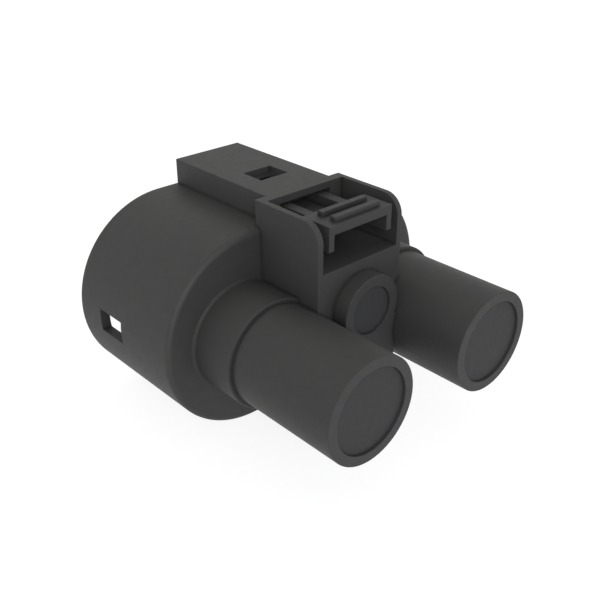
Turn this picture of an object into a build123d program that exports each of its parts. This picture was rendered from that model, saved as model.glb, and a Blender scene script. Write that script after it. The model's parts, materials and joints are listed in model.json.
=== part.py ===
"""Two-pole power plug: moulded housing with a press latch, two cable outlets and a pilot outlet.

Millimetres. X runs across the two poles, +Y is the mating direction, +Z is up.
The origin is the centre of the mating plane, at the mouth of the shroud, level with the cables.
A depth is a distance behind the mating plane, towards the cables (minus Y).
"""
from build123d import *
import os

os.makedirs("parts", exist_ok=True)

# Clearances
slip = 0.1                  # between pieces that push together
pin_play = 0.05             # radial play of the latch pivots in their bores
seal_gap = 0.05             # between a seal's lips and the bore that they fill
cup_gap = 0.3               # between the carrier's flange and the shield cup round it
cup_play = 0.15             # between the shield cup and the shroud
neck_gap = 0.25             # between a shield sleeve and the neck's bore
crimp_gap = 0.15            # round a contact's crimp barrel
beam_gap = 0.9              # on each side of the latch beam
pad_gap = 1.43              # on each side of the press pad
past = 100.0                # reach of a cut that runs right out of a piece

# Shroud
shell_pitch = 24.0          # between the centres of its two round ends
shell_radius = 18.5
shell_wall = 1.85
shell_depth = 27.65         # mating plane to the face on the cable side
back_wall = 1.85
rim_round = 0.9             # on the cable side
mouth_chamfer = 0.5
edge_round = 0.12           # on the outer edges of the housing, the lever and the cover
collar_gap = 5.05           # room for the header's collar, between the shroud and the carrier

# Cable outlets
outlet_pitch = 30.0
neck_radius = 10.1
neck_length = 9.35
neck_round = 0.6            # at the foot of each neck
sleeve_radius = 9.35
sleeve_length = 22.15
sleeve_wall = 1.8
cable_bore_length = 13.15
end_recess = 0.5            # from a sleeve's end to the plug that closes it

# Pilot outlet between the sleeves
pilot_height = 5.95
boss_radius = 6.35
boss_length = 3.05
boss_wall = 1.9
pilot_bore_length = 9.8
pilot_neck_bore = 3.6
web_width = 12.4
web_top = 3.3
web_bottom = -7.5
core_wall = 1.85            # left round the pocket in the web's underside

# Tower and latch frame
tower_width = 14.9
tower_rise = 4.75           # from the shroud's top to the tower's
tower_wall = 1.55
roof = 1.3
frame_width = 19.75
frame_start = 26.2
frame_depth = 41.7
frame_bottom = 0.0
cheek = 1.095               # thickness of the frame's side walls
cheek_round = 3.6
frame_front = 1.9           # from the frame's front face to its opening
sill_drop = 8.8             # from the tower's top to the latch frame's sill
throat_step = 0.35          # floor of the passage from the frame to the tower, above the shroud's cavity

# Windows
catch_window_width = 6.3
catch_window_start = 14.9
catch_window_length = 5.0
side_window_start = 6.7
side_window_length = 6.8
side_window_height = 4.3

# Latch lever: drops are below the tower's top, rises and reaches start at the pivot's axis
pivot_depth = 22.5
pivot_drop = 3.35
pivot_radius = 1.0
pivot_engagement = 0.9      # how far a pivot reaches into the tower's wall
hub_radius = 1.7
arm_width = 1.95
arm_rise = 1.4
beam_drop = 1.6
beam_web = 1.2
pad_drop = 0.95
pad_length = 6.35
pad_inset = 0.15            # from the pad's edge to the end of the latch frame
pad_thickness = 1.65
skirt_height = 4.5
skirt_thickness = 1.2
skirt_round = 2.0
rib_width = 10.4
rib_height = 0.9
rib_length = 1.2
rib_inset = 0.9
rib_pitch = 2.95
hook_reach = 7.5            # catch face
hook_drop = 3.0
hook_land = 0.6
nose_length = 2.7
nose_rise = 0.1
nose_thickness = 0.8

# Contact carrier and its cover
cover_start = 3.0
cover_thickness = 2.0
entry_gap = 0.4             # between a mating pin's hole in the cover and the socket behind it
entry_chamfer = 0.8
flange_thickness = 2.4
tube_wall = 0.85
tube_length = 13.8
tube_chamfer = 0.25
chamber_floor = 1.2
clip_inner = 6.5            # inner face of a cover clip, from the middle
clip_thickness = 1.2
clip_height = 4.0
clip_length = 5.0
clip_hook = 0.4
clip_hook_length = 1.4
groove_width = 1.8          # two coding grooves along the carrier's underside
groove_depth = 1.1
groove_length = 8.2
groove_spacing = 7.0
groove_offset = 1.5         # of their middle from the plug's

# Power contacts
barrel_radius = 5.9
socket_radius = 4.1
socket_floor = 1.0
band_inset = 1.5
band_length = 5.0
band_recess = 0.5
band_sheet = 0.25
crimp_radius = 5.1
crimp_bore = 3.9
crimp_bore_length = 14.0
inspection_hole = 0.9       # radius of the hole that shows the wire's end in the crimp barrel
inspection_inset = 1.5
tail_length = 17.0          # behind the contact's chamber
waist_radius = 4.4
waist_length = 2.5
louvre_count = 12
louvre_slot = 0.9
louvre_rim = 0.7

# Secondary lock
lock_start = 12.4
lock_thickness = 2.0
lock_groove = 0.8
lock_top = 3.5
lock_bar_top = -7.5
lock_reach = 21.0           # half of the comb's width
lock_inner = 9.0            # inner face of the inner prongs, from the middle

# Interface seal and its retainer
seal_length = 5.3
seal_wall = 0.65
seal_lip = 0.65
seal_lip_width = 0.9
seal_lip_count = 3
seal_lip_round = 0.4
retainer_height = 0.9
retainer_length = 1.9

# Shield
cup_sheet = 0.5
cup_base = 0.6
cup_depth = 5.3
finger_slot = 1.2
finger_length = 3.7
flank_slots = 4             # on each straight flank
end_slots = 5               # round each end
end_slot_span = 120.0       # degrees between the first and the last of them
sleeve_sheet = 0.55
shield_length = 12.2
shield_flange = 0.6

# Cable seals, supports and blanking plugs
support_length = 1.5
support_ring = 1.7
grommet_length = 8.1
grommet_wall = 1.05
grommet_lip_out = 0.5
grommet_lip_in = 0.45
grommet_lip_width = 1.0
grommet_lip_count = 3
grommet_lip_round = 0.45
plug_thickness = 3.0
spigot_length = 8.0
spigot_wall = 1.2

# Pilot loop
pilot_spacing = 4.5
pilot_insert_width = 9.0
pilot_insert_height = 6.0
pilot_insert_tail = 2.1
pilot_contact_radius = 1.25
pilot_contact_length = 12.4
pilot_contact_inset = 0.5
pilot_socket = 0.8
pilot_entry_gap = 0.2
link_thickness = 0.8
pilot_seal_length = 6.0
pilot_seal_bore = 1.0       # one for each pilot wire
pilot_wire_bore = 1.3

# Depths worked out from the sizes above
shell_floor = shell_depth - back_wall
neck_end = shell_depth + neck_length
sleeve_end = neck_end + sleeve_length
opening_start = frame_start + frame_front
boss_end = frame_depth + boss_length
carrier_front = cover_start + cover_thickness
contact_start = carrier_front + slip
cup_back = shell_floor - cup_base
cup_rim_start = shell_floor - cup_depth
flange_start = cup_back - flange_thickness
seal_start = flange_start - seal_length
chamber_end = cup_back - chamber_floor
tube_end = cup_back + tube_length
crimp_end = chamber_end + tail_length
band_start = contact_start + band_inset
pad_end = frame_depth - pad_inset
pad_start = pad_end - pad_length
hook_depth = pivot_depth - hook_reach
pilot_contact_start = contact_start + pilot_contact_inset
pilot_contact_end = pilot_contact_start + pilot_contact_length
pilot_insert_end = pilot_contact_end + link_thickness + pilot_insert_tail

# Radii
shell_inner = shell_radius - shell_wall
carrier_radius = shell_inner - collar_gap
flange_radius = shell_inner - cup_play - cup_sheet - cup_gap
chamber_radius = barrel_radius + slip
tube_bore = crimp_radius + crimp_gap
tube_radius = tube_bore + tube_wall
shield_bore = tube_radius + slip
shield_radius = shield_bore + sleeve_sheet
neck_bore = shield_radius + neck_gap
cable_bore = sleeve_radius - sleeve_wall
grommet_groove = cable_bore - grommet_lip_out
grommet_bore = grommet_groove - grommet_wall
grommet_lip_bore = grommet_bore - grommet_lip_in
pilot_bore = boss_radius - boss_wall
lock_groove_radius = barrel_radius - lock_groove

# Heights and widths
tower_top = shell_radius + tower_rise
sill_height = tower_top - sill_drop
throat_floor = shell_inner + throat_step
roof_underside = tower_top - roof
pivot_height = tower_top - pivot_drop
arm_top = pivot_height + arm_rise
beam_bottom = pivot_height - beam_drop
pad_top = tower_top - pad_drop
channel_width = tower_width - 2 * tower_wall
opening_width = frame_width - 2 * cheek
beam_width = channel_width - 2 * beam_gap
pad_width = opening_width - 2 * pad_gap
sides = {"left": -1, "right": 1}


def section(depth):
    """Plane across the plug at a depth: its x is X and its y is Z, and extrusions run to the cables."""
    return Plane.XZ.offset(depth)


def rod(start, end, radius, spot=(0, 0), mode=Mode.ADD):
    """Round bar along Y between two depths."""
    with BuildSketch(section(start)) as profile:
        with Locations(spot):
            Circle(radius)
    extrude(profile.sketch, amount=end - start, mode=mode)


def block(start, end, width, low, high, x=0, mode=Mode.ADD):
    """Rectangular bar along Y between two depths and two heights."""
    with BuildSketch(section(start)) as profile:
        with Locations((x, low)):
            Rectangle(width, high - low, align=(Align.CENTER, Align.MIN))
    extrude(profile.sketch, amount=end - start, mode=mode)


def obround(start, end, radius, mode=Mode.ADD):
    """Bar along Y with the shroud's obround section."""
    with BuildSketch(section(start)) as profile:
        SlotCenterToCenter(shell_pitch, 2 * radius)
    extrude(profile.sketch, amount=end - start, mode=mode)


def finish(piece, name):
    """Label a finished piece and write it."""
    piece.part.label = name
    export_step(piece.part, f"parts/{name}.step")


def pole(sign):
    """Axis of one cable outlet in a section."""
    return (sign * outlet_pitch / 2, 0)


def pilot(sign):
    """Axis of one pilot contact in a section."""
    return (sign * pilot_spacing / 2, pilot_height)


def side_align(sign):
    """Alignment that grows a rectangle away from the middle."""
    return Align.MIN if sign > 0 else Align.MAX


# Outer housing: one moulding. Its tower, latch frame, web and pilot boss are rounded before they join it
with BuildPart() as tower:
    block(0, frame_start, tower_width, shell_radius - shell_wall / 2, tower_top)
    fillet(faces().sort_by(Axis.Z)[-1].edges().filter_by(Axis.Y), edge_round)
    fillet(faces().sort_by(Axis.Y)[-1].edges(), edge_round)

with BuildPart() as latch_frame:
    with BuildSketch(Plane.YZ):
        with Locations((-frame_start, frame_bottom)):
            Rectangle(frame_depth - frame_start, tower_top - frame_bottom, align=(Align.MAX, Align.MIN))
        fillet(vertices().group_by(Axis.Y)[-1].sort_by(Axis.X)[0], cheek_round)
    extrude(amount=frame_width / 2, both=True)
    fillet(faces().filter_by(Axis.X).edges(), edge_round)

with BuildPart() as web:
    block(shell_depth - rim_round, boss_end, web_width, web_bottom, web_top)
    fillet(faces().sort_by(Axis.Y)[0].edges(), edge_round)

with BuildPart() as pilot_boss:
    rod(frame_depth, boss_end, boss_radius, (0, pilot_height))
    fillet(faces().sort_by(Axis.Y)[0].edges(), edge_round)

with BuildPart() as outer_housing:
    # Shroud with a chamfered mouth
    obround(0, shell_depth, shell_radius)
    fillet(faces().sort_by(Axis.Y)[0].edges(), rim_round)
    fillet(faces().sort_by(Axis.Y)[-1].edges(), edge_round)
    obround(0, shell_floor, shell_inner, Mode.SUBTRACT)
    chamfer(faces().sort_by(Axis.Y)[-1].inner_wires()[0].edges(), mouth_chamfer)

    # Necks and sleeves
    for sign in sides.values():
        rod(shell_floor, neck_end, neck_radius, pole(sign))
    circles = edges().filter_by(GeomType.CIRCLE)
    neck_circles = circles.filter_by(lambda circle: abs(circle.radius - neck_radius) < slip)
    fillet(neck_circles.group_by(Axis.Y)[-1], neck_round)
    fillet(edges().group_by(Axis.Y)[0], edge_round)
    for sign in sides.values():
        rod(neck_end, sleeve_end, sleeve_radius, pole(sign))
    fillet(edges().group_by(Axis.Y)[0], edge_round)
    add(tower.part)
    add(latch_frame.part)
    add(web.part)
    add(pilot_boss.part)

    # Channel that runs above the shroud's cavity through the tower
    block(0, shell_floor, channel_width, 0, roof_underside, mode=Mode.SUBTRACT)
    block(shell_floor, opening_start, channel_width, throat_floor, roof_underside, mode=Mode.SUBTRACT)
    block(opening_start, frame_depth, opening_width, sill_height, tower_top, mode=Mode.SUBTRACT)

    # Catch window in the tower's roof, and a window in each end of the shroud
    block(catch_window_start, catch_window_start + catch_window_length, catch_window_width,
          roof_underside, tower_top, mode=Mode.SUBTRACT)
    for sign in sides.values():
        block(side_window_start, side_window_start + side_window_length, 2 * shell_wall,
              -side_window_height / 2, side_window_height / 2,
              sign * (shell_pitch / 2 + shell_radius - shell_wall / 2), Mode.SUBTRACT)

    # Pocket in the web's underside
    block(shell_depth + core_wall, boss_end - core_wall, web_width - 2 * core_wall, web_bottom,
          pilot_height - pilot_bore - core_wall, mode=Mode.SUBTRACT)

    # Stepped bores for the cables and the pilot wires
    for sign in sides.values():
        rod(shell_floor, sleeve_end, neck_bore, pole(sign), Mode.SUBTRACT)
        rod(sleeve_end - cable_bore_length, sleeve_end, cable_bore, pole(sign), Mode.SUBTRACT)
    rod(shell_floor, boss_end, pilot_neck_bore, (0, pilot_height), Mode.SUBTRACT)
    rod(boss_end - pilot_bore_length, boss_end, pilot_bore, (0, pilot_height), Mode.SUBTRACT)

    # Blind bores for the latch pivots
    with BuildSketch(Plane.YZ) as pivot_bore:
        with Locations((-pivot_depth, pivot_height)):
            Circle(pivot_radius + pin_play)
    extrude(amount=channel_width / 2 + pivot_engagement + slip, both=True, mode=Mode.SUBTRACT)
finish(outer_housing, "outer_housing")


# Latch lever: press pad in the frame, beam through the throat, hook under the catch window
with BuildPart() as latch_lever:
    block(pad_start, pad_end, pad_width, pad_top - pad_thickness, pad_top)
    for inset in (rib_inset, rib_inset + rib_pitch):
        block(pad_end - inset - rib_length, pad_end - inset, rib_width, pad_top, pad_top + rib_height)
    fillet(edges().group_by(Axis.Z)[-1], edge_round)

    # Side skirts, which meet the sill when the pad is pressed home
    for sign in sides.values():
        inner = pad_width / 2 - skirt_thickness
        with BuildSketch(Plane.YZ.offset(inner if sign > 0 else -pad_width / 2)):
            with Locations((-pad_start, pad_top)):
                Rectangle(pad_length, skirt_height, align=(Align.MAX, Align.MAX))
            fillet(vertices().group_by(Axis.Y)[0].sort_by(Axis.X)[-1], skirt_round)
        extrude(amount=skirt_thickness)
    fillet(faces().sort_by(Axis.Y)[0].edges(), edge_round)

    # Channel beam: a web between two arms
    beam_end = pad_start + pad_thickness
    block(pivot_depth, beam_end, beam_width, beam_bottom, beam_bottom + beam_web)
    for sign in sides.values():
        block(pivot_depth, beam_end, arm_width, beam_bottom, arm_top,
              sign * (beam_width - arm_width) / 2)

    # Front arm and hook, in side view
    nose_bottom = pivot_height + nose_rise - nose_thickness
    with BuildSketch(Plane.YZ):
        with BuildLine():
            Polyline(
                (-pivot_depth, arm_top),
                (-pivot_depth, beam_bottom),
                (-hook_depth, nose_bottom),
                (-hook_depth, pivot_height - hook_drop),
                (-hook_depth + hook_land, pivot_height - hook_drop),
                (-hook_depth + nose_length, nose_bottom),
                (-hook_depth + nose_length, pivot_height + nose_rise),
                close=True,
            )
        make_face()
    extrude(amount=beam_width / 2, both=True)

    # Hub and pivots
    with BuildSketch(Plane.YZ):
        with Locations((-pivot_depth, pivot_height)):
            Circle(hub_radius)
    extrude(amount=beam_width / 2, both=True)
    with BuildSketch(Plane.YZ):
        with Locations((-pivot_depth, pivot_height)):
            Circle(pivot_radius)
    extrude(amount=channel_width / 2 + pivot_engagement, both=True)
finish(latch_lever, "latch_lever")


def coding_grooves(start, end):
    """Two grooves along the underside of the carrier and its cover."""
    for sign in sides.values():
        block(start, end, groove_width, -past, groove_depth - carrier_radius,
              groove_offset + sign * groove_spacing / 2, Mode.SUBTRACT)


def comb(play):
    """Section of the secondary lock: a bar below the contacts, with a prong on each side of both."""
    with BuildSketch(section(lock_start - play)) as profile:
        SlotCenterToCenter(shell_pitch, 2 * (carrier_radius - slip + 2 * play))
        with Locations((0, lock_top + play)):
            Rectangle(past, past, align=(Align.CENTER, Align.MIN), mode=Mode.SUBTRACT)
        for sign in sides.values():
            with Locations((sign * (lock_reach + play), 0)):
                Rectangle(past, past, align=(side_align(sign), Align.CENTER), mode=Mode.SUBTRACT)
            with Locations(pole(sign)):
                Circle(lock_groove_radius + slip - play, mode=Mode.SUBTRACT)
                Rectangle(2 * (lock_groove_radius + slip - play), past,
                          align=(Align.CENTER, Align.MIN), mode=Mode.SUBTRACT)
        with Locations((0, lock_bar_top + play)):
            Rectangle(2 * (lock_inner - play), past, align=(Align.CENTER, Align.MIN), mode=Mode.SUBTRACT)
    return profile.sketch


# Contact carrier: insulating block with two stepped chambers and rear tubes
with BuildPart() as contact_carrier:
    obround(carrier_front, flange_start, carrier_radius)
    coding_grooves(carrier_front, cover_start + groove_length)
    obround(flange_start, cup_back, flange_radius)
    for sign in sides.values():
        rod(cup_back, tube_end, tube_radius, pole(sign))
        rod(carrier_front, chamber_end, chamber_radius, pole(sign), Mode.SUBTRACT)
        rod(chamber_end, tube_end, tube_bore, pole(sign), Mode.SUBTRACT)

        # Slot for one clip of the front cover
        clip_width = clip_thickness + 2 * slip
        block(carrier_front, carrier_front + clip_length + slip, clip_width,
              -clip_height / 2 - slip, clip_height / 2 + slip,
              sign * (clip_inner + clip_thickness / 2), Mode.SUBTRACT)
        hook_front = carrier_front + clip_length - clip_hook_length
        block(hook_front - slip, carrier_front + clip_length + slip, clip_hook + 2 * slip,
              -clip_height / 2 - slip, clip_height / 2 + slip,
              sign * (clip_inner - clip_hook / 2), Mode.SUBTRACT)

    chamfer(edges().group_by(Axis.Y)[0], tube_chamfer)

    # Pilot chamber and its two wire passages
    block(carrier_front, pilot_insert_end + slip, pilot_insert_width + 2 * slip,
          pilot_height - pilot_insert_height / 2 - slip, pilot_height + pilot_insert_height / 2 + slip,
          mode=Mode.SUBTRACT)
    for sign in sides.values():
        rod(pilot_insert_end, cup_back, pilot_wire_bore, pilot(sign), Mode.SUBTRACT)

    # Slot for the secondary lock
    extrude(comb(slip), amount=lock_thickness + 2 * slip, mode=Mode.SUBTRACT)
finish(contact_carrier, "contact_carrier")


# Front cover: finger-safe entries, held by two clips
with BuildPart() as front_cover:
    pilot_entry = pilot_socket + pilot_entry_gap
    obround(cover_start, carrier_front, carrier_radius)
    for sign in sides.values():
        block(carrier_front, carrier_front + clip_length, clip_thickness, -clip_height / 2, clip_height / 2,
              sign * (clip_inner + clip_thickness / 2))
        block(hook_front, carrier_front + clip_length, clip_hook, -clip_height / 2, clip_height / 2,
              sign * (clip_inner - clip_hook / 2))
        rod(cover_start, carrier_front, socket_radius + entry_gap, pole(sign), Mode.SUBTRACT)
        rod(cover_start, carrier_front, pilot_entry, pilot(sign), Mode.SUBTRACT)
    front_edges = edges().filter_by(GeomType.CIRCLE).group_by(Axis.Y)[-1]
    chamfer(front_edges.filter_by(lambda edge: pilot_entry < edge.radius < carrier_radius), entry_chamfer)
    fillet(faces().sort_by(Axis.Y)[-1].outer_wire().edges(), edge_round)
    coding_grooves(cover_start, carrier_front)
finish(front_cover, "front_cover")


# Secondary lock: comb that drops into a groove of both contacts
with BuildPart() as contact_lock:
    extrude(comb(0), amount=lock_thickness)
finish(contact_lock, "contact_lock")


# Interface seal: ring with lips, and the retainer in front of it
with BuildPart() as interface_seal:
    obround(seal_start, flange_start, carrier_radius + seal_wall)
    pitch = (seal_length - seal_lip_width) / (seal_lip_count - 1)
    for index in range(seal_lip_count):
        with BuildPart() as seal_lip_ring:
            obround(seal_start + index * pitch, seal_start + index * pitch + seal_lip_width,
                    carrier_radius + seal_wall + seal_lip)
            fillet(edges(), seal_lip_round)
        add(seal_lip_ring.part)
    obround(seal_start, flange_start, carrier_radius + seal_gap, Mode.SUBTRACT)
finish(interface_seal, "interface_seal")

with BuildPart() as seal_retainer:
    obround(seal_start - retainer_length, seal_start, carrier_radius + retainer_height)
    fillet(faces().sort_by(Axis.Y)[-1].edges(), edge_round)
    obround(seal_start - retainer_length, seal_start, carrier_radius + slip, Mode.SUBTRACT)
finish(seal_retainer, "seal_retainer")


# Shield cup: stamped obround cup whose rim is slit into fingers
with BuildPart() as shield_cup:
    rim = flange_radius + cup_gap
    obround(cup_rim_start, shell_floor, rim + cup_sheet)
    obround(cup_rim_start, cup_back, rim, Mode.SUBTRACT)
    for sign in sides.values():
        rod(cup_back, shell_floor, shield_bore, pole(sign), Mode.SUBTRACT)
        rod(cup_back, shell_floor, pilot_wire_bore + slip, pilot(sign), Mode.SUBTRACT)
    with BuildSketch(section(cup_rim_start)):
        with GridLocations(shell_pitch / flank_slots, 0, flank_slots, 1):
            Rectangle(finger_slot, past)
        for outward, sign in ((0, 1), (180, -1)):
            with Locations((sign * shell_pitch / 2, 0)):
                with PolarLocations(rim + cup_sheet / 2, end_slots, start_angle=outward - end_slot_span / 2,
                                    angular_range=end_slot_span, endpoint=True):
                    Rectangle(cup_sheet + 2 * cup_gap, finger_slot)
    extrude(amount=finger_length, mode=Mode.SUBTRACT)
finish(shield_cup, "shield_cup")


# One of each of these on either side
for side, sign in sides.items():
    with BuildPart() as power_contact:
        rod(contact_start, chamber_end - slip, barrel_radius, pole(sign))
        chamfer(faces().sort_by(Axis.Y)[-1].edges(), entry_chamfer)
        rod(chamber_end - slip, chamber_end + waist_length, waist_radius, pole(sign))
        rod(chamber_end + waist_length, crimp_end, crimp_radius, pole(sign))
        with BuildSketch(section(lock_start - slip)):
            with Locations(pole(sign)):
                Circle(barrel_radius + slip)
                Circle(lock_groove_radius, mode=Mode.SUBTRACT)
        extrude(amount=lock_thickness + 2 * slip, mode=Mode.SUBTRACT)
        rod(contact_start, chamber_end - socket_floor, socket_radius, pole(sign), Mode.SUBTRACT)
        rod(band_start, band_start + band_length, socket_radius + band_recess, pole(sign), Mode.SUBTRACT)
        rod(crimp_end - crimp_bore_length, crimp_end, crimp_bore, pole(sign), Mode.SUBTRACT)
        with BuildSketch(Plane.XY):
            with Locations((sign * outlet_pitch / 2, crimp_bore_length - inspection_inset - crimp_end)):
                Circle(inspection_hole)
        extrude(amount=past, mode=Mode.SUBTRACT)
    finish(power_contact, f"{side}_power_contact")

    with BuildPart() as contact_spring:
        band_front = band_start + slip
        band_back = band_start + band_length - slip
        band_outer = socket_radius + band_recess - seal_gap
        rod(band_front, band_back, band_outer, pole(sign))
        rod(band_front, band_back, band_outer - band_sheet, pole(sign), Mode.SUBTRACT)
        with BuildSketch(section(band_front + louvre_rim)):
            with Locations(pole(sign)):
                with PolarLocations(band_outer, louvre_count):
                    Rectangle(4 * band_sheet, louvre_slot)
        extrude(amount=band_back - band_front - 2 * louvre_rim, mode=Mode.SUBTRACT)
    finish(contact_spring, f"{side}_contact_spring")

    with BuildPart() as shield_sleeve:
        shield_end = shell_floor + shield_length
        rod(shell_floor, shield_end, shield_radius, pole(sign))
        rod(shell_floor, shell_floor + shield_flange, neck_bore - slip, pole(sign))
        rod(shell_floor, shield_end, shield_bore, pole(sign), Mode.SUBTRACT)
    finish(shield_sleeve, f"{side}_shield_sleeve")

    with BuildPart() as seal_support:
        support_start = sleeve_end - cable_bore_length
        support_end = support_start + support_length
        rod(support_start, support_end, cable_bore - slip, pole(sign))
        rod(support_start, support_end, cable_bore - support_ring, pole(sign), Mode.SUBTRACT)
    finish(seal_support, f"{side}_seal_support")

    with BuildPart() as cable_seal:
        grommet_start = support_end
        grommet_end = grommet_start + grommet_length
        pitch = (grommet_length - grommet_lip_width) / (grommet_lip_count - 1)
        lips = [grommet_start + index * pitch for index in range(grommet_lip_count)]
        rod(grommet_start, grommet_end, grommet_groove, pole(sign))
        rod(grommet_start, grommet_end, grommet_bore, pole(sign), Mode.SUBTRACT)
        for lip in lips:
            with BuildPart() as grommet_lip_ring:
                rod(lip, lip + grommet_lip_width, cable_bore - seal_gap, pole(sign))
                rod(lip, lip + grommet_lip_width, grommet_lip_bore, pole(sign), Mode.SUBTRACT)
                fillet(edges(), grommet_lip_round)
            add(grommet_lip_ring.part)
    finish(cable_seal, f"{side}_cable_seal")

    with BuildPart() as blanking_plug:
        plug_face = sleeve_end - end_recess
        rod(plug_face - plug_thickness, plug_face, cable_bore - seal_gap, pole(sign))
        spigot_end = plug_face - plug_thickness
        spigot = grommet_lip_bore - seal_gap
        rod(spigot_end - spigot_length, spigot_end, spigot, pole(sign))
        rod(spigot_end - spigot_length, spigot_end, spigot - spigot_wall, pole(sign), Mode.SUBTRACT)
    finish(blanking_plug, f"{side}_blanking_plug")

    with BuildPart() as pilot_contact:
        socket_end = pilot_contact_end - link_thickness
        rod(pilot_contact_start, pilot_contact_end, pilot_contact_radius, pilot(sign))
        rod(pilot_contact_start, socket_end, pilot_socket, pilot(sign), Mode.SUBTRACT)
    finish(pilot_contact, f"{side}_pilot_contact")


# Pilot loop: insert, link, seal and blanking plug
with BuildPart() as pilot_insert:
    low = pilot_height - pilot_insert_height / 2
    block(contact_start, pilot_insert_end, pilot_insert_width, low, low + pilot_insert_height)
    for sign in sides.values():
        rod(contact_start, pilot_insert_end, pilot_contact_radius + seal_gap, pilot(sign), Mode.SUBTRACT)
    link_width = pilot_spacing + 2 * pilot_contact_radius
    block(pilot_contact_end, pilot_insert_end, link_width + 2 * slip,
          pilot_height - pilot_contact_radius - slip, pilot_height + pilot_contact_radius + slip,
          mode=Mode.SUBTRACT)
finish(pilot_insert, "pilot_insert")

with BuildPart() as pilot_link:
    block(pilot_contact_end, pilot_contact_end + link_thickness, link_width,
          pilot_height - pilot_contact_radius, pilot_height + pilot_contact_radius)
finish(pilot_link, "pilot_link")

with BuildPart() as pilot_seal:
    pilot_seal_start = boss_end - pilot_bore_length
    pilot_seal_end = pilot_seal_start + pilot_seal_length
    rod(pilot_seal_start, pilot_seal_end, pilot_bore - seal_gap, (0, pilot_height))
    for sign in sides.values():
        rod(pilot_seal_start, pilot_seal_end, pilot_seal_bore, pilot(sign), Mode.SUBTRACT)
finish(pilot_seal, "pilot_seal")

with BuildPart() as pilot_blanking_plug:
    rod(pilot_seal_end, boss_end - end_recess, pilot_bore - seal_gap, (0, pilot_height))
    for sign in sides.values():
        rod(pilot_seal_start + slip, pilot_seal_end, pilot_seal_bore - seal_gap, pilot(sign))
finish(pilot_blanking_plug, "pilot_blanking_plug")
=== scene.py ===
"""Looks of the two-pole power plug housing: moulded plastics, seals and contacts on a pale floor."""

import json
import math

import bpy
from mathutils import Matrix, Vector


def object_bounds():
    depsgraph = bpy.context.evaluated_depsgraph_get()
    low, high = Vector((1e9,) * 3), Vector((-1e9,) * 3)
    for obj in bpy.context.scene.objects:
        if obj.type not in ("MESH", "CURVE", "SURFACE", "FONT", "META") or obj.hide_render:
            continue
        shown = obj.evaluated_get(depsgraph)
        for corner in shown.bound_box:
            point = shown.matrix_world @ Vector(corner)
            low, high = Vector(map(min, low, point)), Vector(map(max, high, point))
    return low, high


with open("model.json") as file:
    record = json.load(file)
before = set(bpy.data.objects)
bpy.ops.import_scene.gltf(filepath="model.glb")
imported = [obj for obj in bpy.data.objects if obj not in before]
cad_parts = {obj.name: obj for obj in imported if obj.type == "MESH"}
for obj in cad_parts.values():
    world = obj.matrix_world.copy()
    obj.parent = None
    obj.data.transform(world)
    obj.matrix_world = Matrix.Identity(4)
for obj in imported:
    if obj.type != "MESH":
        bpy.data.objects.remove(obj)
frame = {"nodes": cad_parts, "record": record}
cad_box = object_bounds()
nodes = frame["nodes"]
scene = bpy.context.scene
MM = 0.001
WHITE = (1.0, 1.0, 1.0)
BLACK = (0.0, 0.0, 0.0)

# Camera at the photo's viewing angle
CAMERA_PLACE = Vector((-92.43, -127.35, 74.72)) * MM
CAMERA_AZIMUTH = math.radians(42.542)       # from +Y towards +X
CAMERA_ELEVATION = math.radians(-28.408)
CAMERA_LENS = 50.0
CAMERA_NEAREST = 5 * MM

# Tones, as linear base colours
HOUSING_TONE = (0.0356, 0.0349, 0.0338)
LEVER_TONE = (0.0340, 0.0338, 0.0336)
PLUG_TONE = (0.0305, 0.0305, 0.0313)
CARRIER_TONE = (0.012, 0.012, 0.013)
COVER_TONE = (0.018, 0.018, 0.019)
LOCK_TONE = (0.20, 0.18, 0.15)
RETAINER_TONE = (0.026, 0.026, 0.027)
SILICONE_TONE = (0.16, 0.036, 0.018)
SILVER_TONE = (0.78, 0.76, 0.72)
BRONZE_TONE = (0.60, 0.38, 0.17)
STEEL_TONE = (0.50, 0.49, 0.47)

# Outer edges: rays inside the piece meet walls there, and the rounded normals turn away from the plain
# ones. Each range runs from the first to the full value of the edge mask.
EDGE_SAMPLES = 6
EDGE_OPENNESS = (0.95, 0.72)
EDGE_TURN = (0.995, 0.80)

# Inner corners get painted shade: tone and sheen are darkened where nearby walls block rays
PAINTED_SHADE_SAMPLES = 24
PAINTED_SHADE_OPENNESS = (0.98, 0.92)
PAINTED_SHADE_REACH = 0.5 * MM        # how far the painted shade reaches out of a corner
PAINTED_SHADE_LEVEL = 0.78            # what is left of tone and sheen under the painted shade

# Moulded plastic
FLOW = {"size": 9 * MM, "detail": 3, "stretch": (1.0, 0.35, 1.0)}    # long marks where the melt ran
FLOW_SHARE = 0.6               # the rest of the cloud is patches
PATCH = {"size": 2.2 * MM, "detail": 4, "rough": 0.6}
CLOUD_RANGE = (0.32, 0.68)
CLOUD_TONES = (0.96, 1.04)
RUB = {"size": 0.9 * MM, "detail": 4, "rough": 0.7}                  # breaks up the rubbed edges
RUB_RANGE = (0.42, 0.62)
RUB_LEAST = 0.25
RUB_SPREAD = 0.55
RUB_POLISH = 0.12              # how much smoother a rubbed edge is
DULL = {"size": 1.4 * MM, "detail": 3}
DULL_RANGE = (0.3, 0.7)
DULL_SPREAD = 0.03
SPARK_DETAIL = 2
SPARK_STRENGTH = 0.22
SPARK_DEPTH = 0.02 * MM

# Silicone rubber
RUBBER_EDGE = 0.2 * MM
RUBBER_EDGE_TONE = 1.2
BLOOM = {"size": 1.6 * MM, "detail": 4, "rough": 0.65}
BLOOM_RANGE = (0.45, 0.75)
BLOOM_TONE = 1.25
BLOOM_ROUGH = (0.62, 0.75)
RUBBER_GRAIN = 0.2 * MM
RUBBER_STRENGTH = 0.25
RUBBER_DEPTH = 0.02 * MM

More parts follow.
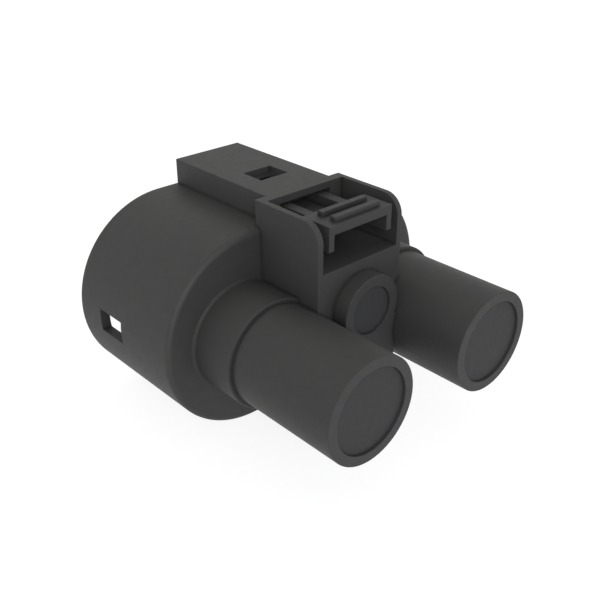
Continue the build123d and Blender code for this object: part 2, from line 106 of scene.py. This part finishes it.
# Metal, with lines that run round or along the contacts' axis
METAL_EDGE = 0.12 * MM
METAL_EDGE_TONE = 1.08
TARNISH = {"size": 2.4 * MM, "detail": 4, "rough": 0.6}
TARNISH_RANGE = (0.45, 0.75)
TARNISH_TONE = 0.8
TARNISH_ROUGH = 0.12
SCRATCH = {"size": 0.12 * MM, "detail": 2}
SCRATCH_STRENGTH = 0.15
SCRATCH_DEPTH = 0.01 * MM
ACROSS_THE_AXIS = (0.12, 1.0, 0.12)
ALONG_THE_AXIS = (1.0, 0.12, 1.0)

# Floor and light
FLOOR_RADIUS = 900 * MM
FLOOR_TONE = 0.95
FLOOR_ROUGH = 0.9
SHADOW_SHARE = 0.3             # how much of the object's shadow the camera sees
WORLD_TONE = (0.985, 0.99, 1.0)
WORLD_LEVEL = 0.60
LAMP_TARGET = Vector((0.0, -0.03, 0.0))
LAMPS = {                      # place, size, power, tone
    "overhead": ((0.05, 0.02, 0.7), 0.7, 0.2, (1.0, 0.70, 0.30)),
    "rear": ((-0.1, -0.8, 0.25), 0.5, 0.25, (0.20, 0.45, 1.0)),
    "fill": ((-0.42, -0.60, 0.34), 0.3, 2.6, (0.98, 0.99, 1.0)),
}


def add_looking(name, data, place, look):
    """Add a camera or lamp that looks along a direction."""
    thing = bpy.data.objects.new(name, data)
    thing.location = place
    thing.rotation_euler = look.to_track_quat("-Z", "Y").to_euler()
    scene.collection.objects.link(thing)
    return thing


def make_camera():
    """The photo's camera."""
    data = bpy.data.cameras.new("camera")
    data.lens = CAMERA_LENS
    data.clip_start = CAMERA_NEAREST
    level = math.cos(CAMERA_ELEVATION)
    look = Vector((math.sin(CAMERA_AZIMUTH) * level,
                   math.cos(CAMERA_AZIMUTH) * level,
                   math.sin(CAMERA_ELEVATION)))
    scene.camera = add_looking("camera", data, CAMERA_PLACE, look)


make_camera()


class Nodes:
    """A small helper that adds and joins the nodes of a material or of the world."""

    def __init__(self, owner):
        owner.use_nodes = True
        self.tree = owner.node_tree

    def add(self, kind, **settings):
        node = self.tree.nodes.new(kind)
        for key, value in settings.items():
            setattr(node, key, value)
        return node

    def join(self, source, target):
        self.tree.links.new(source, target)

    def maths(self, operation, first, second):
        node = self.add("ShaderNodeMath", operation=operation)
        for socket, item in zip(node.inputs, (first, second)):
            if isinstance(item, (int, float)):
                socket.default_value = item
            else:
                self.join(item, socket)
        return node.outputs["Value"]

    def rays(self):
        """Two masks: rays from the camera, and rays that gloss or glass passes on."""
        path = self.add("ShaderNodeLightPath").outputs
        passed_on = self.maths("MAXIMUM", path["Is Glossy Ray"], path["Is Transmission Ray"])
        return path["Is Camera Ray"], passed_on


class Shader(Nodes):
    """The nodes of one material."""

    def __init__(self, name):
        self.material = bpy.data.materials.new(name)
        super().__init__(self.material)
        self.surface = self.tree.nodes["Principled BSDF"]
        self.place = self.add("ShaderNodeTexCoord").outputs["Object"]

    def feed(self, source, name):
        """Join a source to a named input of the surface."""
        self.join(source, self.surface.inputs[name])

    def noise(self, size, detail=2, rough=0.5, stretch=None):
        """Noise whose grains are about size metres across, from 0 to 1."""
        node = self.add("ShaderNodeTexNoise")
        node.inputs["Scale"].default_value = 1 / size
        node.inputs["Detail"].default_value = detail
        node.inputs["Roughness"].default_value = rough
        place = self.place
        if stretch:
            mapping = self.add("ShaderNodeMapping")
            mapping.inputs["Scale"].default_value = stretch
            self.join(self.place, mapping.inputs["Vector"])
            place = mapping.outputs["Vector"]
        self.join(place, node.inputs["Vector"])
        return node.outputs["Fac"]

    def ramp(self, value, low, high, out_low=0.0, out_high=1.0):
        """Map a value from one range to another, clamped."""
        node = self.add("ShaderNodeMapRange")
        limits = {"From Min": low, "From Max": high, "To Min": out_low, "To Max": out_high}
        for name, number in limits.items():
            node.inputs[name].default_value = number
        self.join(value, node.inputs["Value"])
        return node.outputs["Result"]

    def mix(self, share, first, second, kind="RGBA"):
        """Mix two colours, or two vectors."""
        node = self.add("ShaderNodeMix", data_type=kind)
        sockets = {s.name: s for s in node.inputs if s.type == kind}
        self.join(share, node.inputs["Factor"])
        for name, item in (("A", first), ("B", second)):
            if isinstance(item, tuple):
                sockets[name].default_value = (*item, 1.0)
            else:
                self.join(item, sockets[name])
        return [s for s in node.outputs if s.type == kind][0]

    def openness(self, reach, samples, **settings):
        """The share of rays that run free for a reach, past this piece only."""
        node = self.add("ShaderNodeAmbientOcclusion", samples=samples, only_local=True, **settings)
        node.inputs["Distance"].default_value = reach
        return node.outputs["AO"]

    def edges(self, radius):
        """Normals rounded at the outer edges, and a mask that is 1 along those edges."""
        bevel = self.add("ShaderNodeBevel", samples=EDGE_SAMPLES)
        bevel.inputs["Radius"].default_value = radius
        rounded = bevel.outputs["Normal"]
        plain = self.add("ShaderNodeNewGeometry").outputs["Normal"]
        turn = self.add("ShaderNodeVectorMath", operation="DOT_PRODUCT")
        self.join(rounded, turn.inputs[0])
        self.join(plain, turn.inputs[1])
        outer = self.ramp(self.openness(2 * radius, EDGE_SAMPLES, inside=True), *EDGE_OPENNESS)
        mask = self.maths("MULTIPLY", self.ramp(turn.outputs["Value"], *EDGE_TURN), outer)
        return self.mix(outer, plain, rounded, "VECTOR"), mask

    def painted_corner_shade(self):
        """A mask of painted shade that is 1 in inner corners and 0 in the open."""
        return self.ramp(self.openness(PAINTED_SHADE_REACH, PAINTED_SHADE_SAMPLES), *PAINTED_SHADE_OPENNESS)

    def bump(self, height, strength, distance, normal):
        """Raise the surface by a height pattern, on top of the given normals."""
        node = self.add("ShaderNodeBump")
        node.inputs["Strength"].default_value = strength
        node.inputs["Distance"].default_value = distance
        self.join(height, node.inputs["Height"])
        self.join(normal, node.inputs["Normal"])
        self.feed(node.outputs["Normal"], "Normal")


def scaled(tone, factor):
    return tuple(min(1.0, part * factor) for part in tone)


def moulded(name, tone, rough=0.62, grain=0.16, wear=1.4, edge=0.15, sheen=0.36):
    """Moulded plastic: fine spark texture, faint flow marks, edges rubbed lighter and smoother,
    painted shade in inner corners.

    The grain's size and the edge's radius are in millimetres."""
    s = Shader(name)
    round_normal, edge_mask = s.edges(edge * MM)
    cloud = s.maths("ADD",
                    s.maths("MULTIPLY", s.noise(**FLOW), FLOW_SHARE),
                    s.maths("MULTIPLY", s.noise(**PATCH), 1 - FLOW_SHARE))
    base = s.mix(s.ramp(cloud, *CLOUD_RANGE), *(scaled(tone, part) for part in CLOUD_TONES))
    broken = s.ramp(s.noise(**RUB), *RUB_RANGE)
    rubbed = s.maths("MULTIPLY", broken, RUB_SPREAD)
    rubbed = s.maths("MULTIPLY", edge_mask, s.maths("ADD", rubbed, RUB_LEAST))
    worn = s.mix(rubbed, base, scaled(tone, wear))
    # Painted shade: tone and sheen are darkened in inner corners, from an occlusion mask
    painted_shade = s.painted_corner_shade()
    s.feed(s.mix(painted_shade, worn, scaled(tone, PAINTED_SHADE_LEVEL)), "Base Color")
    s.feed(s.ramp(painted_shade, 0.0, 1.0, sheen, sheen * PAINTED_SHADE_LEVEL), "Specular IOR Level")
    dull = s.ramp(s.noise(**DULL), *DULL_RANGE, rough - DULL_SPREAD, rough + DULL_SPREAD)
    s.feed(s.maths("SUBTRACT", dull, s.maths("MULTIPLY", rubbed, RUB_POLISH)), "Roughness")
    spark = s.noise(grain * MM, SPARK_DETAIL)
    s.bump(spark, SPARK_STRENGTH, SPARK_DEPTH, round_normal)
    return s.material


def silicone(name, tone):
    """Silicone rubber: soft, dull, with a faint bloom."""
    s = Shader(name)
    round_normal, edge_mask = s.edges(RUBBER_EDGE)
    bloom = s.ramp(s.noise(**BLOOM), *BLOOM_RANGE)
    base = s.mix(bloom, tone, scaled(tone, BLOOM_TONE))
    s.feed(s.mix(edge_mask, base, scaled(tone, RUBBER_EDGE_TONE)), "Base Color")
    s.feed(s.ramp(bloom, 0.0, 1.0, *BLOOM_ROUGH), "Roughness")
    s.bump(s.noise(RUBBER_GRAIN), RUBBER_STRENGTH, RUBBER_DEPTH, round_normal)
    return s.material


def plated(name, tone, rough, lines):
    """Turned or stamped metal: fine lines along or across the axis, a few duller patches."""
    s = Shader(name)
    round_normal, edge_mask = s.edges(METAL_EDGE)
    tarnish = s.ramp(s.noise(**TARNISH), *TARNISH_RANGE)
    base = s.mix(tarnish, tone, scaled(tone, TARNISH_TONE))
    s.feed(s.mix(edge_mask, base, scaled(tone, METAL_EDGE_TONE)), "Base Color")
    s.feed(s.ramp(tarnish, 0.0, 1.0, rough, rough + TARNISH_ROUGH), "Roughness")
    s.bump(s.noise(**SCRATCH, stretch=lines), SCRATCH_STRENGTH, SCRATCH_DEPTH, round_normal)
    s.surface.inputs["Metallic"].default_value = 1.0
    return s.material


finishes = {
    "housing_plastic": moulded("housing_plastic", HOUSING_TONE),
    "lever_plastic": moulded("lever_plastic", LEVER_TONE, edge=0.12),
    "plug_plastic": moulded("plug_plastic", PLUG_TONE, rough=0.72),
    "carrier_plastic": moulded("carrier_plastic", CARRIER_TONE, rough=0.45, wear=1.8),
    "cover_plastic": moulded("cover_plastic", COVER_TONE, rough=0.5, wear=1.8),
    "lock_plastic": moulded("lock_plastic", LOCK_TONE, rough=0.45, wear=1.1),
    "retainer_plastic": moulded("retainer_plastic", RETAINER_TONE, rough=0.5),
    "seal_silicone": silicone("seal_silicone", SILICONE_TONE),
    "plated_copper": plated("plated_copper", SILVER_TONE, 0.24, ACROSS_THE_AXIS),
    "spring_bronze": plated("spring_bronze", BRONZE_TONE, 0.3, ALONG_THE_AXIS),
    "shield_steel": plated("shield_steel", STEEL_TONE, 0.34, ALONG_THE_AXIS),
}

for part in frame["record"]["subparts"]:
    thing = nodes[part["node"]]
    thing.data.materials.clear()
    thing.data.materials.append(finishes[part["material_slot"]])


def make_floor():
    """Plain pale floor: white where it is open, with a share of the object's shadow."""
    low = cad_box[0][2]
    corners = [(x * FLOOR_RADIUS, y * FLOOR_RADIUS, low)
               for x, y in ((-1, -1), (1, -1), (1, 1), (-1, 1))]
    mesh = bpy.data.meshes.new("floor")
    mesh.from_pydata(corners, [], [(0, 1, 2, 3)])
    floor = bpy.data.objects.new("floor", mesh)
    scene.collection.objects.link(floor)
    s = Shader("floor_paper")
    from_camera, passed_on = s.rays()
    tone = s.mix(from_camera, (FLOOR_TONE,) * 3, (FLOOR_TONE * SHADOW_SHARE,) * 3)
    s.feed(s.mix(passed_on, tone, BLACK), "Base Color")
    lift = 1 - SHADOW_SHARE * FLOOR_TONE * WORLD_LEVEL
    s.feed(s.maths("ADD", s.maths("MULTIPLY", from_camera, lift), passed_on), "Emission Strength")
    s.surface.inputs["Emission Color"].default_value = (*WHITE, 1.0)
    s.surface.inputs["Roughness"].default_value = FLOOR_ROUGH
    mesh.materials.append(s.material)


def make_world():
    """Even white surround: plain white to the camera, softer as a light."""
    world = bpy.data.worlds.new("studio")
    scene.world = world
    s = Nodes(world)
    soft = s.tree.nodes["Background"]
    soft.inputs["Color"].default_value = (*WORLD_TONE, 1.0)
    soft.inputs["Strength"].default_value = WORLD_LEVEL
    white = s.add("ShaderNodeBackground")
    white.inputs["Color"].default_value = (*WHITE, 1.0)
    blend = s.add("ShaderNodeMixShader")
    s.join(s.maths("MAXIMUM", *s.rays()), blend.inputs["Fac"])
    s.join(soft.outputs["Background"], blend.inputs[1])
    s.join(white.outputs["Background"], blend.inputs[2])
    s.join(blend.outputs["Shader"], s.tree.nodes["World Output"].inputs["Surface"])


def make_lamp(name, place, size, power, tone):
    """Soft square lamp that looks at the object."""
    data = bpy.data.lights.new(name, "AREA")
    data.size = size
    data.energy = power
    data.color = tone
    add_looking(name, data, place, LAMP_TARGET - Vector(place))


make_floor()
make_world()
for name, settings in LAMPS.items():
    make_lamp(name, *settings)

scene.view_settings.view_transform = "Standard"
